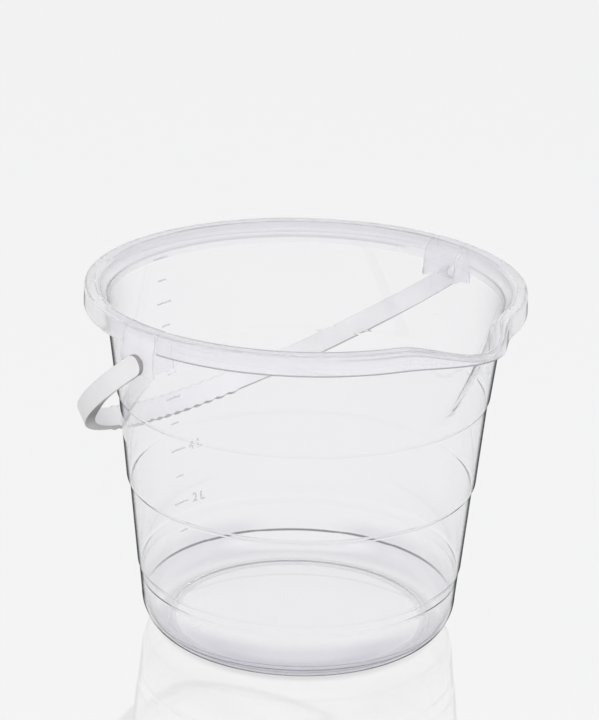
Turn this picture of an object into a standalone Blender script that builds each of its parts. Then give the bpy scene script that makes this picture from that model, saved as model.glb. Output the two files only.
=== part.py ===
"""A clear twelve-litre household bucket with a swinging bail handle.

The bucket is one thin moulding: a stepped and tapered wall, a shallow foot, a hollow rim with a
hanging skirt, a pouring spout at the front, and an open bracket under the rim on each side.
The handle is a second moulding. Its two snap pins sit in the brackets, and it swings on them.
Metres, +Z up. The origin is the middle of the base, on the surface that the bucket stands on.
The hinge runs along X, the spout points to -Y, and the handle hangs behind, at +Y.
"""

import math

import bmesh
import bpy
from mathutils import Vector

# Bucket: overall size
BUCKET_HEIGHT = 0.262
RIM_RADIUS = 0.1565
WALL_THICKNESS = 0.0018

# Bucket: rim, with a flat top, a flare inside and a skirt outside
RIM_TOP_WIDTH = 0.0091
RIM_EDGE_RADIUS = 0.0012
FLARE_WIDTH = 0.0068
FLARE_DEPTH = 0.0100
SKIRT_DEPTH = 0.0148
SKIRT_LEAN = 0.0005

# Bucket: wall, with three small steps outward
FIRST_STEP_HEIGHT = 0.0485
STEP_SPACING = 0.0661
STEP_RISE = 0.0014
LOW_STEP_WIDTH = 0.0010
MIDDLE_STEP_WIDTH = 0.0020
HIGH_STEP_WIDTH = 0.0014
LOWER_TAPER_SHARE = 0.093
UPPER_TAPER_SHARE = 0.120

# Bucket: rounded corner, and a shallow foot that is pressed down out of the floor
CORNER_WIDTH = 0.0199
CORNER_HEIGHT = 0.0247
FLOOR_THICKNESS = 0.0020
FOOT_HEIGHT = 0.0015
FOOT_LEAN = 0.0004

# Bucket: spout, and the channel that runs down the wall under it
SPOUT_REACH = 0.0229
SPOUT_SKIRT_REACH = 0.0185
SPOUT_DIP = 0.0069
SPOUT_SKIRT_LIFT = 0.0021
CHANNEL_DEPTH = 0.0665
CHANNEL_FOOT_SHARE = 0.25
SPOUT_HALF_ANGLE = math.radians(21.7)
SPOUT_POINTEDNESS = 2.33

# Bucket: the two brackets that carry the handle
BRACKET_WIDTH = 0.0324
BRACKET_PLATE = 0.0020
BRACKET_STAND_OUT = 0.0020
BRACKET_DEPTH = 0.0315
BRACKET_SIDE_DEPTH = 0.0290
BRACKET_SIDE_SLOPE = 0.0012
HINGE_DEPTH = 0.0253

# Handle: a strap bent to half an ellipse, thin at its ends and deep in the hand
REACH_BEYOND_SPAN = 0.0292
STRAP_WIDTH = 0.0149
STRAP_THIN_DEPTH = 0.0026
STRAP_FULL_DEPTH = 0.0082
STRAP_EDGE = 0.0009
PAD_DEPTH = 0.0041
PAD_LENGTH = 0.0060
THIN_START = 0.0220
THIN_END = 0.0280
FULL_START = 0.0980
HANGING_ANGLE = math.radians(36.7)

# Handle: the snap pins
PIN_RADIUS = 0.0033
PIN_CLEARANCE = 0.0004
HEAD_RADIUS = 0.0044
HEAD_LENGTH = 0.0028
HEAD_LIP = 0.0005
HEAD_TIP_RADIUS = 0.0028
SIDE_CLEARANCE = 0.0004

# Handle: the low waves along both edges of the grip
GRIP_LENGTH = 0.1200
WAVE_SPACING = 0.0100
WAVE_FOOT_WIDTH = 0.0076
WAVE_CREST_WIDTH = 0.0042
WAVE_HEIGHT = 0.0010
WAVE_INSET = 0.0011

# How far a cutter runs past its cut, how deep a joined piece is rooted, and what counts as one point
OVERRUN = 0.0100
ROOT = 0.0010
SAME_POINT = 0.000001

# Number of facets
ROUND_STEPS = 46
SPOUT_STEPS = 26
SPOUT_SPAN_SHARE = 1.12
CORNER_STEPS = 5
CHANNEL_STEPS = 5
STRAP_STEPS = 52
TIP_STEPS = 4
TIP_SPAN = math.radians(78)
PIN_STEPS = 20

# Places that follow from the sizes
FLARE_HEIGHT = BUCKET_HEIGHT - FLARE_DEPTH
SKIRT_HEIGHT = BUCKET_HEIGHT - SKIRT_DEPTH
RIM_UNDERSIDE = BUCKET_HEIGHT - WALL_THICKNESS
CHANNEL_HEIGHT = BUCKET_HEIGHT - CHANNEL_DEPTH
HINGE_HEIGHT = BUCKET_HEIGHT - HINGE_DEPTH
RIM_INNER_RADIUS = RIM_RADIUS - RIM_TOP_WIDTH
SKIRT_RADIUS = RIM_RADIUS + SKIRT_LEAN
BRACKET_FACE = RIM_RADIUS + BRACKET_STAND_OUT
BRACKET_BACK = BRACKET_FACE - BRACKET_PLATE
HANDLE_HALF_SPAN = BRACKET_FACE + SIDE_CLEARANCE + PAD_DEPTH
HANDLE_REACH = HANDLE_HALF_SPAN + REACH_BEYOND_SPAN


def clear_scene():
    for thing in list(bpy.data.objects):
        bpy.data.objects.remove(thing, do_unlink=True)


def between(low, high, share):
    return low + (high - low) * share


def progress(value, low, high):
    """0 up to low, 1 from high on, and a straight rise between them."""
    return min(1.0, max(0.0, (value - low) / (high - low)))


def ease(value, low, high):
    """The same as progress, but rounded at both ends."""
    share = progress(value, low, high)
    return share * share * (3.0 - 2.0 * share)


def plastic(name, colour, roughness, see_through):
    material = bpy.data.materials.new(name)
    material.use_nodes = True
    shader = material.node_tree.nodes["Principled BSDF"]
    shader.inputs["Base Color"].default_value = (*colour, 1.0)
    shader.inputs["Roughness"].default_value = roughness
    shader.inputs["Metallic"].default_value = 0.0
    shader.inputs["Transmission Weight"].default_value = see_through
    return material


def make_object(name, bm, material=None):
    """Turn a bmesh into a smooth-shaded object whose faces point outward."""
    bmesh.ops.recalc_face_normals(bm, faces=bm.faces)
    mesh = bpy.data.meshes.new(name)
    bm.to_mesh(mesh)
    bm.free()
    mesh.shade_smooth()
    mesh.set_sharp_from_angle(angle=math.radians(32))
    thing = bpy.data.objects.new(name, mesh)
    bpy.context.scene.collection.objects.link(thing)
    if material:
        mesh.materials.append(material)
    return thing


def combine(target, helper, operation):
    """Join a helper to a piece or cut it away, and hide the helper."""
    change = target.modifiers.new(helper.name, "BOOLEAN")
    change.operation = operation
    change.solver = "EXACT"
    change.object = helper
    helper.hide_render = True
    helper.display_type = "WIRE"
    helper.parent = target


def prism(bm, outline, width):
    """A flat outline of (x, z) points, thickened evenly to both sides of Y = 0."""
    corners = [bm.verts.new((x, -width / 2, z)) for x, z in outline]
    side = bm.faces.new(corners)
    grown = bmesh.ops.extrude_face_region(bm, geom=[side])["geom"]
    moved = [item for item in grown if isinstance(item, bmesh.types.BMVert)]
    bmesh.ops.translate(bm, verts=moved, vec=(0, width, 0))


def turned_on_hinge(bm, outline, side):
    """A turned shape on the hinge line, from (distance from the middle, radius) points."""
    points = [bm.verts.new((side * x, radius, 0)) for x, radius in outline]
    edges = [bm.edges.new(pair) for pair in zip(points, points[1:])]
    bmesh.ops.spin(bm, geom=points + edges, cent=(0, 0, 0), axis=(1, 0, 0), dvec=(0, 0, 0),
                   angle=math.tau, steps=PIN_STEPS, use_merge=False, use_duplicate=False)
    bmesh.ops.remove_doubles(bm, verts=bm.verts, dist=SAME_POINT)


def wall_radius(height):
    """The wall's outer radius, followed down from the flare through the three steps."""
    radius = RIM_INNER_RADIUS - FLARE_WIDTH + WALL_THICKNESS
    level = FLARE_HEIGHT
    taper = UPPER_TAPER_SHARE
    for index, width in ((2, HIGH_STEP_WIDTH), (1, MIDDLE_STEP_WIDTH), (0, LOW_STEP_WIDTH)):
        step_foot = FIRST_STEP_HEIGHT + index * STEP_SPACING
        step_head = step_foot + STEP_RISE
        if height >= step_head:
            break
        radius -= (level - step_head) * taper
        if height > step_foot:
            return radius - width * (step_head - height) / STEP_RISE
        radius -= width
        level = step_foot
        taper = LOWER_TAPER_SHARE
    return radius - (level - height) * taper


def wall_heights():
    """Where the wall's section has a corner, and a few levels more along the channel."""
    heights = [CORNER_HEIGHT]
    for index in range(3):
        step_foot = FIRST_STEP_HEIGHT + index * STEP_SPACING
        heights += [step_foot, step_foot + STEP_RISE]
    for index in range(CHANNEL_STEPS):
        heights.append(between(CHANNEL_HEIGHT, FLARE_HEIGHT, index / CHANNEL_STEPS))
    return sorted(heights) + [FLARE_HEIGHT]


def foot_radius():
    return wall_radius(CORNER_HEIGHT) - CORNER_WIDTH


def base_corner(wall, floor):
    """The round from the foot up to the wall. Inside, it is set in by the wall and the floor."""
    points = []
    for index in range(CORNER_STEPS):
        angle = math.radians(90) * index / CORNER_STEPS
        start = FOOT_HEIGHT + floor
        points.append((foot_radius() + (CORNER_WIDTH - wall) * math.sin(angle),
                       start + (CORNER_HEIGHT - start) * (1 - math.cos(angle))))
    return points


def rim_edge(centre_radius, start):
    """A rounded edge of the rim's top: a quarter turn from the start angle."""
    points = []
    for angle in (start, start + math.radians(45), start + math.radians(90)):
        points.append((centre_radius + RIM_EDGE_RADIUS * math.cos(angle),
                       BUCKET_HEIGHT - RIM_EDGE_RADIUS + RIM_EDGE_RADIUS * math.sin(angle)))
    return points


def bucket_section():
    """Half of the bucket's section as (radius, height): up outside, over the rim, down inside."""
    heights = wall_heights()
    section = [(0, 0), (foot_radius() - FOOT_LEAN, 0)]
    section += base_corner(0, 0)
    section += [(wall_radius(height), height) for height in heights]
    section += [(RIM_INNER_RADIUS + WALL_THICKNESS, RIM_UNDERSIDE),
                (RIM_RADIUS - WALL_THICKNESS, RIM_UNDERSIDE),
                (SKIRT_RADIUS - WALL_THICKNESS, SKIRT_HEIGHT),
                (SKIRT_RADIUS, SKIRT_HEIGHT)]
    section += rim_edge(RIM_RADIUS - RIM_EDGE_RADIUS, 0)
    section += rim_edge(RIM_INNER_RADIUS + RIM_EDGE_RADIUS, math.radians(90))
    section += [(wall_radius(height) - WALL_THICKNESS, height) for height in reversed(heights)]
    section += reversed(base_corner(WALL_THICKNESS, FLOOR_THICKNESS))
    section += [(foot_radius() - WALL_THICKNESS, FLOOR_THICKNESS), (0, FLOOR_THICKNESS)]
    return section


def spout_move(point):
    """How far the spout and its channel pull a point of the round bucket, and along which way."""
    radius = math.hypot(point.x, point.y)
    off_centre = abs(math.atan2(point.x, -point.y))
    rise = progress(point.z, CHANNEL_HEIGHT, SKIRT_HEIGHT)
    half_angle = SPOUT_HALF_ANGLE * between(CHANNEL_FOOT_SHARE, 1, rise)
    if off_centre >= half_angle or rise == 0:
        return Vector((0, 0, 0))
    fullness = math.cos(math.radians(90) * off_centre / half_angle) ** SPOUT_POINTEDNESS
    outward = progress(radius, RIM_INNER_RADIUS + WALL_THICKNESS, RIM_RADIUS - WALL_THICKNESS)
    hanging = outward * progress(RIM_UNDERSIDE - point.z, 0, RIM_UNDERSIDE - SKIRT_HEIGHT)
    reach = fullness * rise * between(SPOUT_REACH, SPOUT_SKIRT_REACH, outward)
    lift = fullness * rise * between(-SPOUT_DIP, SPOUT_SKIRT_LIFT, hanging)
    return Vector((point.x / radius * reach, point.y / radius * reach, lift))


def turned_bucket(bm):
    """Spin the section in one fine turn through the spout and one coarser turn round the rest."""
    spout_span = 2 * SPOUT_HALF_ANGLE * SPOUT_SPAN_SHARE
    start = math.radians(-90) - spout_span / 2
    points = [bm.verts.new((radius * math.cos(start), radius * math.sin(start), height))
              for radius, height in bucket_section()]
    sheet = points + [bm.edges.new(pair) for pair in zip(points, points[1:])]
    for span, steps in ((spout_span, SPOUT_STEPS), (math.tau - spout_span, ROUND_STEPS)):
        turn = bmesh.ops.spin(bm, geom=sheet, cent=(0, 0, 0), axis=(0, 0, 1), dvec=(0, 0, 0),
                              angle=span, steps=steps, use_merge=False, use_duplicate=False)
        sheet = turn["geom_last"]
    bmesh.ops.remove_doubles(bm, verts=bm.verts, dist=SAME_POINT)


def bracket_outline(inset, overrun):
    """A bracket seen from the side, as (x, z). Its hollow is inset in front and runs past it."""
    face = BRACKET_FACE - inset
    root = WALL_THICKNESS / 2
    top = BUCKET_HEIGHT - root + overrun
    front_foot = BUCKET_HEIGHT - BRACKET_DEPTH - overrun
    side_foot = BUCKET_HEIGHT - BRACKET_SIDE_DEPTH - overrun
    back_foot = side_foot + BRACKET_SIDE_SLOPE
    return [(wall_radius(back_foot) - WALL_THICKNESS - overrun, back_foot),
            (wall_radius(FLARE_HEIGHT) - root - overrun, FLARE_HEIGHT),
            (RIM_INNER_RADIUS + root, top),
            (RIM_RADIUS - root - inset, top),
            (face, SKIRT_HEIGHT),
            (face, front_foot),
            (face - BRACKET_PLATE, front_foot),
            (face - BRACKET_PLATE, side_foot)]


def make_prism(name, side, outline, width):
    bm = bmesh.new()
    prism(bm, [(side * x, z) for x, z in outline], width)
    return make_object(name, bm)


def make_pin_hole(side, label):
    bm = bmesh.new()
    radius = PIN_RADIUS + PIN_CLEARANCE
    start = BRACKET_BACK - OVERRUN
    end = BRACKET_FACE + OVERRUN
    turned_on_hinge(bm, [(start, 0), (start, radius), (end, radius), (end, 0)], side)
    bmesh.ops.translate(bm, verts=bm.verts, vec=(0, 0, HINGE_HEIGHT))
    return make_object(f"{label}_pin_hole", bm)


def add_bracket(bucket, side, label):
    """An open box under the rim: a front plate with the pin's hole, and two side plates."""
    bracket = make_prism(f"{label}_bracket", side, bracket_outline(0, 0), BRACKET_WIDTH)
    hollow = make_prism(f"{label}_bracket_hollow", side, bracket_outline(BRACKET_PLATE, OVERRUN),
                        BRACKET_WIDTH - 2 * BRACKET_PLATE)
    combine(bracket, hollow, "DIFFERENCE")
    combine(bucket, bracket, "UNION")
    combine(bucket, make_pin_hole(side, label), "DIFFERENCE")


def make_bucket():
    bm = bmesh.new()
    turned_bucket(bm)
    for vert in bm.verts:
        if vert.co.z > CHANNEL_HEIGHT:
            vert.co += spout_move(vert.co)
    clear = plastic("clear_plastic", (0.93, 0.94, 0.96), 0.06, 1.0)
    bucket = make_object("bucket_body", bm, clear)
    add_bracket(bucket, 1, "right")
    add_bracket(bucket, -1, "left")
    return bucket


def strap_depth(distance):
    """The strap's depth at a distance from the hinge: pad, thin neck, then the full grip."""
    neck = between(PAD_DEPTH, STRAP_THIN_DEPTH, ease(distance, PAD_LENGTH, THIN_START))
    return neck + (STRAP_FULL_DEPTH - STRAP_THIN_DEPTH) * ease(distance, THIN_END, FULL_START)


def strap_place(angle):
    """A point of the outer half ellipse in the handle's own plane, and the way inward there."""
    outer = Vector((HANDLE_HALF_SPAN * math.cos(angle), HANDLE_REACH * math.sin(angle), 0))
    inward = Vector((-math.cos(angle) / HANDLE_HALF_SPAN, -math.sin(angle) / HANDLE_REACH, 0))
    return outer, inward.normalized()


def strap_section(outer, inward, half_width, depth):
    """One section of the strap: a rectangle with its four edges taken off."""
    edge = min(STRAP_EDGE, half_width / 2)
    corners = ((edge - half_width, 0), (half_width - edge, 0),
               (half_width, edge), (half_width, depth - edge),
               (half_width - edge, depth), (edge - half_width, depth),
               (-half_width, depth - edge), (-half_width, edge))
    return [outer + inward * inset + Vector((0, 0, across)) for across, inset in corners]


def tip_sections(side):
    """The rounded end past the hinge line, from its narrow tip inward."""
    sections = []
    for index in range(TIP_STEPS):
        angle = TIP_SPAN * (1 - index / TIP_STEPS)
        outer = Vector((side * HANDLE_HALF_SPAN, -STRAP_WIDTH / 2 * math.sin(angle), 0))
        half_width = STRAP_WIDTH / 2 * math.cos(angle)
        sections.append(strap_section(outer, Vector((-side, 0, 0)), half_width, PAD_DEPTH))
    return sections


def strap_sections():
    """All sections of the strap, from the left tip over the grip to the right tip."""
    middle = []
    for index in range(STRAP_STEPS + 1):
        outer, inward = strap_place(math.pi * (1 - index / STRAP_STEPS))
        middle.append(strap_section(outer, inward, STRAP_WIDTH / 2, strap_depth(outer.y)))
    return tip_sections(-1) + middle + tip_sections(1)[::-1]


def loft(bm, sections):
    """Skin a row of closed sections and cap both ends."""
    rings = [[bm.verts.new(point) for point in section] for section in sections]
    for ring, following in zip(rings, rings[1:]):
        for index in range(len(ring)):
            after = (index + 1) % len(ring)
            bm.faces.new((ring[index], ring[after], following[after], following[index]))
    bm.faces.new(rings[0][::-1])
    bm.faces.new(rings[-1])


def wave_outline():
    """One wave of the grip, which runs across the strap and stands out of both its edges."""
    crest = STRAP_WIDTH / 2 + WAVE_HEIGHT
    foot = STRAP_WIDTH / 2 - ROOT
    lower = [(-WAVE_FOOT_WIDTH / 2, -foot), (-WAVE_CREST_WIDTH / 2, -crest),
             (WAVE_CREST_WIDTH / 2, -crest), (WAVE_FOOT_WIDTH / 2, -foot)]
    return lower + [(along, -across) for along, across in lower[::-1]]


def make_grip_waves():
    """The row of waves, each set in a little from the strap's inner and outer face."""
    bm = bmesh.new()
    count = int(GRIP_LENGTH / WAVE_SPACING + SAME_POINT) + 1
    for index in range(count):
        place = (index - (count - 1) / 2) * WAVE_SPACING
        outer, inward = strap_place(math.acos(place / HANDLE_HALF_SPAN))
        sideways = Vector((inward.y, -inward.x, 0))
        sections = []
        for inset in (WAVE_INSET, strap_depth(outer.y) - WAVE_INSET):
            sections.append([outer + inward * inset + sideways * along + Vector((0, 0, across))
                             for along, across in wave_outline()])
        loft(bm, sections)
    return make_object("grip_waves", bm)


def make_snap_pin(side, label):
    """A pin from the strap's pad through the bracket's hole, with a barbed head behind it."""
    bm = bmesh.new()
    lip = BRACKET_BACK - SIDE_CLEARANCE
    turned_on_hinge(bm, [(BRACKET_FACE + SIDE_CLEARANCE + ROOT, 0),
                         (BRACKET_FACE + SIDE_CLEARANCE + ROOT, PIN_RADIUS),
                         (lip, PIN_RADIUS), (lip, HEAD_RADIUS), (lip - HEAD_LIP, HEAD_RADIUS),
                         (lip - HEAD_LENGTH, HEAD_TIP_RADIUS), (lip - HEAD_LENGTH, 0)], side)
    return make_object(f"{label}_snap_pin", bm)


def make_handle():
    bm = bmesh.new()
    loft(bm, strap_sections())
    milky = plastic("milky_plastic", (0.86, 0.86, 0.87), 0.35, 0.25)
    handle = make_object("carry_handle", bm, milky)
    combine(handle, make_snap_pin(1, "right"), "UNION")
    combine(handle, make_snap_pin(-1, "left"), "UNION")
    combine(handle, make_grip_waves(), "UNION")
    return handle


def main():
    clear_scene()
    make_bucket()
    hinge = bpy.data.objects.new("handle_hinge", None)
    bpy.context.scene.collection.objects.link(hinge)
    hinge.location = (0, 0, HINGE_HEIGHT)
    hinge.rotation_euler = (-HANGING_ANGLE, 0, 0)
    make_handle().parent = hinge


main()
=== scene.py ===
"""The looks of a clear twelve-litre bucket with a milky bail handle.

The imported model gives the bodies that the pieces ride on. The clear moulding and the handle are
built again here with finer turns, rounded edges, smooth waves along the grip and the raised
litre scale. Metres, +Z up. The origin is the middle of the base, the hinge runs along X, the
spout points to -Y, and the handle hangs at +Y.
"""

import math

import bmesh
import bpy
from mathutils import Matrix, Quaternion, Vector


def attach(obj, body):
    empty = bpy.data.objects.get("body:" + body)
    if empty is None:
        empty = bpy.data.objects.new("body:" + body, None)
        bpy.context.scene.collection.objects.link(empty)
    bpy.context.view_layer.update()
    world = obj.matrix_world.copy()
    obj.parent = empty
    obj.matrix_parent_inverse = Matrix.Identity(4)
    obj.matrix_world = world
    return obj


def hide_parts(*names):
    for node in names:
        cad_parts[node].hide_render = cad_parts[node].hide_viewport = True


# Camera, solved from the rim, the steps and the foot in the photograph
CAMERA_AZIMUTH = math.radians(-45)
CAMERA_ELEVATION = math.radians(21.96)
CAMERA_DISTANCE = 1.8611
CAMERA_CENTRE_HEIGHT = 0.131
CAMERA_AIM_HEIGHT = 0.2026
CAMERA_AIM_LEFT = 0.0034
CAMERA_ROLL = math.radians(1.435)
CAMERA_LENS = 128.32
CAMERA_SENSOR = 36.0
CAMERA_RANGE = 50.0

# Bucket: overall size
BUCKET_HEIGHT = 0.262
RIM_RADIUS = 0.1565
WALL_THICKNESS = 0.0018

# Bucket: rim, with a flat top, a flare inside and a skirt outside
RIM_TOP_WIDTH = 0.0091
RIM_ROUND = 0.0014
FLARE_WIDTH = 0.0068
FLARE_DEPTH = 0.0100
FLARE_ROUND = 0.0020
SKIRT_DEPTH = 0.0148
SKIRT_LEAN = 0.0005
LIP_ROUND = 0.0007

# Bucket: wall, with three small steps outward
FIRST_STEP_HEIGHT = 0.0485
STEP_SPACING = 0.0661
STEP_RISE = 0.0014
STEP_ROUND = 0.0030
STEP_SOFTENING = 0.0009
LOW_STEP_WIDTH = 0.0010
MIDDLE_STEP_WIDTH = 0.0020
HIGH_STEP_WIDTH = 0.0014
LOWER_TAPER_SHARE = 0.093
UPPER_TAPER_SHARE = 0.120

# Bucket: a fine bead inside the wall, under the lowest step
BEAD_HEIGHT = 0.0405
BEAD_WIDTH = 0.0032
BEAD_RELIEF = 0.0003

# Bucket: rounded corner and shallow foot
CORNER_WIDTH = 0.0199
CORNER_HEIGHT = 0.0247
FLOOR_THICKNESS = 0.0020
FOOT_HEIGHT = 0.0015
FOOT_LEAN = 0.0004
FOOT_ROUND = 0.0009

# Bucket: spout, and the channel that runs down the wall under it
SPOUT_REACH = 0.0229
SPOUT_SKIRT_REACH = 0.0185
SPOUT_DIP = 0.0069
SPOUT_SKIRT_LIFT = 0.0021
CHANNEL_DEPTH = 0.0665
CHANNEL_FOOT_SHARE = 0.25
SPOUT_HALF_ANGLE = math.radians(21.7)
SPOUT_POINTEDNESS = 2.33

# Bucket: the two brackets that carry the handle
BRACKET_WIDTH = 0.0324
BRACKET_PLATE = 0.0020
BRACKET_STAND_OUT = 0.0020
BRACKET_DEPTH = 0.0315
BRACKET_SIDE_DEPTH = 0.0290
BRACKET_SIDE_SLOPE = 0.0012
HINGE_DEPTH = 0.0253
OVERRUN = 0.0100

# Handle: a strap bent to half an ellipse, thin at its ends and deep in the hand
REACH_BEYOND_SPAN = 0.0292
STRAP_WIDTH = 0.0149
STRAP_THIN_DEPTH = 0.0026
STRAP_FULL_DEPTH = 0.0082
STRAP_ROUND = 0.0008
PAD_DEPTH = 0.0041
PAD_LENGTH = 0.0060
THIN_START = 0.0220
THIN_END = 0.0280
FULL_START = 0.0980
HANGING_ANGLE = math.radians(36.7)
TIP_SPAN = math.radians(84)

# Handle: the snap pins
PIN_RADIUS = 0.0033
PIN_CLEARANCE = 0.0004
HEAD_RADIUS = 0.0044
HEAD_LENGTH = 0.0028
HEAD_LIP = 0.0005
HEAD_TIP_RADIUS = 0.0028
SIDE_CLEARANCE = 0.0004
PIN_ROOT = 0.0010

# Handle: the low waves along both edges of the grip
GRIP_LENGTH = 0.1200
WAVE_SPACING = 0.0100
WAVE_FOOT_WIDTH = 0.0084
WAVE_CREST_WIDTH = 0.0030
WAVE_HEIGHT = 0.0010

# Litre scale, raised on the inside of the back wall
LITRE_HEIGHTS = (0.0366, 0.0583, 0.0795, 0.1004, 0.1208, 0.1408,
                 0.1600, 0.1782, 0.1967, 0.2141, 0.2313, 0.2480)
SCALE_ANGLE = math.radians(95.9)
LONG_TICK = 0.0150
SHORT_TICK = 0.0085
TICK_HEIGHT = 0.0011
FIGURE_SIZE = 0.0095
FIGURE_GAP = 0.0045
HIGHEST_FIGURE = 4
MARK_RELIEF = 0.0004
MARK_ROOT = 0.0002
FIGURE_WEIGHT = 0.0002

# Fineness of the meshes, and what counts as a crease and as one point
ROUND_STEPS = 288
CORNER_STEPS = 22
FILLET_STEPS = 4
LONGEST_FACE = 0.006
STRAP_STEPS = 640
TIP_STEPS = 10
PIN_STEPS = 48
TICK_STEPS = 8
FLOOR_STEPS = 96
CREASE_ANGLE = math.radians(38)
SAME_POINT = 0.000001

# Places that follow from the sizes
FLARE_HEIGHT = BUCKET_HEIGHT - FLARE_DEPTH
SKIRT_HEIGHT = BUCKET_HEIGHT - SKIRT_DEPTH
RIM_UNDERSIDE = BUCKET_HEIGHT - WALL_THICKNESS
CHANNEL_HEIGHT = BUCKET_HEIGHT - CHANNEL_DEPTH
HINGE_HEIGHT = BUCKET_HEIGHT - HINGE_DEPTH
RIM_INNER_RADIUS = RIM_RADIUS - RIM_TOP_WIDTH
SKIRT_RADIUS = RIM_RADIUS + SKIRT_LEAN
BRACKET_FACE = RIM_RADIUS + BRACKET_STAND_OUT
BRACKET_BACK = BRACKET_FACE - BRACKET_PLATE
HANDLE_HALF_SPAN = BRACKET_FACE + SIDE_CLEARANCE + PAD_DEPTH
HANDLE_REACH = HANDLE_HALF_SPAN + REACH_BEYOND_SPAN

# Regions of the clear plastic. A pair says where a soft border begins and where it ends
BACK = (0.03, 0.09)
OUTWARD_TURN = (-0.001, 0.001)
SIDEWAYS_TURN = (0.5, 0.7)
LEDGE_TURN = (0.16, 0.34)
LEVEL_TURN = (0.90, 0.99)
RIM_HEIGHT = (SKIRT_HEIGHT - 0.0008, SKIRT_HEIGHT + 0.0002)
SKIRT_REGION = (0.1483, 0.1493)
SPOUT_SKIRT_SHIFT = 0.0207
FOOT_INSIDE = (0.0895, 0.0915)
FOOT_OUTSIDE = (0.0955, 0.0985)
CORNER_LOW = (0.003, 0.008)
CORNER_HIGH = (0.024, 0.038)
CORNER_SIDES = (0.05, 0.14)
CORNER_SIDE_FADE = 0.6
SPOUT_LEFT = (-0.006, 0.003)
SPOUT_WALL_HEIGHT = (0.230, 0.240)
SPOUT_WALL_FRONT = (-0.130, -0.115)
SPOUT_FACING = (0.50, 0.75)
BRACKET_LOW = (0.228, 0.229)
BRACKET_SIDE = (BRACKET_WIDTH / 2 + 0.0001, BRACKET_WIDTH / 2 + 0.0007)
LINING_RADIUS = (0.149, 0.151)
PLATES_TOP = (0.2540, 0.2605)
SEEN_HANDLE_SIDE = (0.150, 0.165)
SEEN_HANDLE_FACING = (0.70, 0.85)

# Bands of the clear plastic: from where, to where, and how soft each border is
BRACKET_SPAN = (0.1372, 0.2000, 0.0008)
SEEN_HANDLE_HEIGHT = (0.1500, 0.1685, 0.0008)

# Painted highlights on the edges of the rim's top
INNER_EDGE_HEIGHT = (BUCKET_HEIGHT - 0.0030, BUCKET_HEIGHT - 0.0018)
INNER_EDGE_RADIUS = (RIM_INNER_RADIUS + 0.0010, RIM_INNER_RADIUS + 0.0016)
OUTER_EDGE_HEIGHT = (BUCKET_HEIGHT - 0.0016, BUCKET_HEIGHT - 0.0008)
OUTER_EDGE_RADIUS = (RIM_RADIUS - 0.0016, RIM_RADIUS - 0.0010)
OUTER_EDGE_FRONT = 0.4

# Painted shade: dark lines on the wall
CORNER_CREASE = (0.0204, 0.0218, 0.0003)
CORNER_CREASE_BACK = (-0.01, 0.10)
CORNER_DARKNESS = 0.55
FLARE_CREASE = (FLARE_HEIGHT - 0.0008, FLARE_HEIGHT + 0.0006, 0.0004)
BESIDE_BRACKETS = (0.026, 0.040)
FLARE_DARKNESS = 0.14
SKIRT_LINE = (SKIRT_HEIGHT - 0.0006, SKIRT_HEIGHT + 0.0009, 0.0003)
SKIRT_LINE_END = (-0.175, -0.145)
SKIRT_DARKNESS = 0.36
UPPER_BASE_LINE = (0.0156, 0.0164, 0.0002)
UPPER_BASE_DARKNESS = 0.15
LOWER_BASE_LINE = (0.0118, 0.0128, 0.0003)
LOWER_BASE_DARKNESS = 0.25
WALL_SHADE_FACING = (0.45, 0.85)
WALL_SHADE_HEIGHT = (0.190, 0.235)
WALL_SHADE_TOP = (FLARE_HEIGHT - 0.0010, FLARE_HEIGHT)
WALL_SHADE_DARKNESS = 0.10

# Painted shade: dark lines on the rim
BACK_LINE_HEIGHT = (BUCKET_HEIGHT - 0.0016, BUCKET_HEIGHT - 0.0004)
BACK_LINE_RADIUS = (RIM_INNER_RADIUS + 0.0014, RIM_INNER_RADIUS + 0.0020)
BACK_LINE_DARKNESS = 0.16
FLARE_SHADE_HEIGHT = (FLARE_HEIGHT + 0.0030, BUCKET_HEIGHT - 0.0015)
FLARE_SHADE_RADIUS = (RIM_INNER_RADIUS, RIM_INNER_RADIUS + 0.0010)
FLARE_SHADE_DARKNESS = 0.08
GROOVE = (0.2578, 0.2588, 0.0003)
GROOVE_START = (-0.02, 0.10)
GROOVE_DIP = 0.0071
GROOVE_DARKNESS = 0.16
SHOULDER_START = (0.0, 0.15)
SHOULDER_BAND = (0.2583, 0.2590)
SHOULDER_BAND_DARKNESS = 0.035
SHOULDER_RADIUS = (RIM_INNER_RADIUS + 0.0002, RIM_INNER_RADIUS + 0.0008)
SHOULDER_EDGE_DARKNESS = 0.26

# Painted shade: dark edges where the outside turns out of sight
WALL_EDGE_FACING = (0.80, 0.90)
WALL_EDGE_DARKNESS = 0.88
SPOUT_EDGE_START = (0.0, 0.2)
SPOUT_EDGE_FADE = 0.4
BASE_EDGE_FACING = (0.76, 0.88)
BASE_EDGE_HEIGHT = (0.010, 0.016)
RIM_EDGE_FACING = (0.84, 0.96)
RIM_EDGE_HEIGHT = (BUCKET_HEIGHT - 0.0050, BUCKET_HEIGHT - 0.0025)
RIM_EDGE_DARKNESS = 0.6

# Milkiness, painted light and shade, gloss, smudges and waves of the clear plastic
SEEN_HANDLE_PAINTED_LIGHT = 0.6
RIM_MILKINESS = 0.27
PLATES_MILKINESS = 0.40
EDGE_HIGHLIGHT_SHARE = 0.85
FOOT_PAINTED_LIGHT = 0.35
SPOUT_PAINTED_LIGHT = 0.7
PLATE_SIDE_SHADE = 0.4
RIM_GLOW = 0.4
RIM_ROUGHNESS = 0.06
RIM_CLOUD_ROUGHNESS = 0.3
REFRACTION = 1.5
SMUDGE_SCALE = 26.0
SMUDGE_ROUGHNESS = 0.03
SMUDGE_MILKINESS = 0.02
WAVE_SCALE = 9.0
WAVE_SQUEEZE = 0.25
WAVE_STRENGTH = 0.10
WAVE_DEPTH = 0.004

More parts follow.
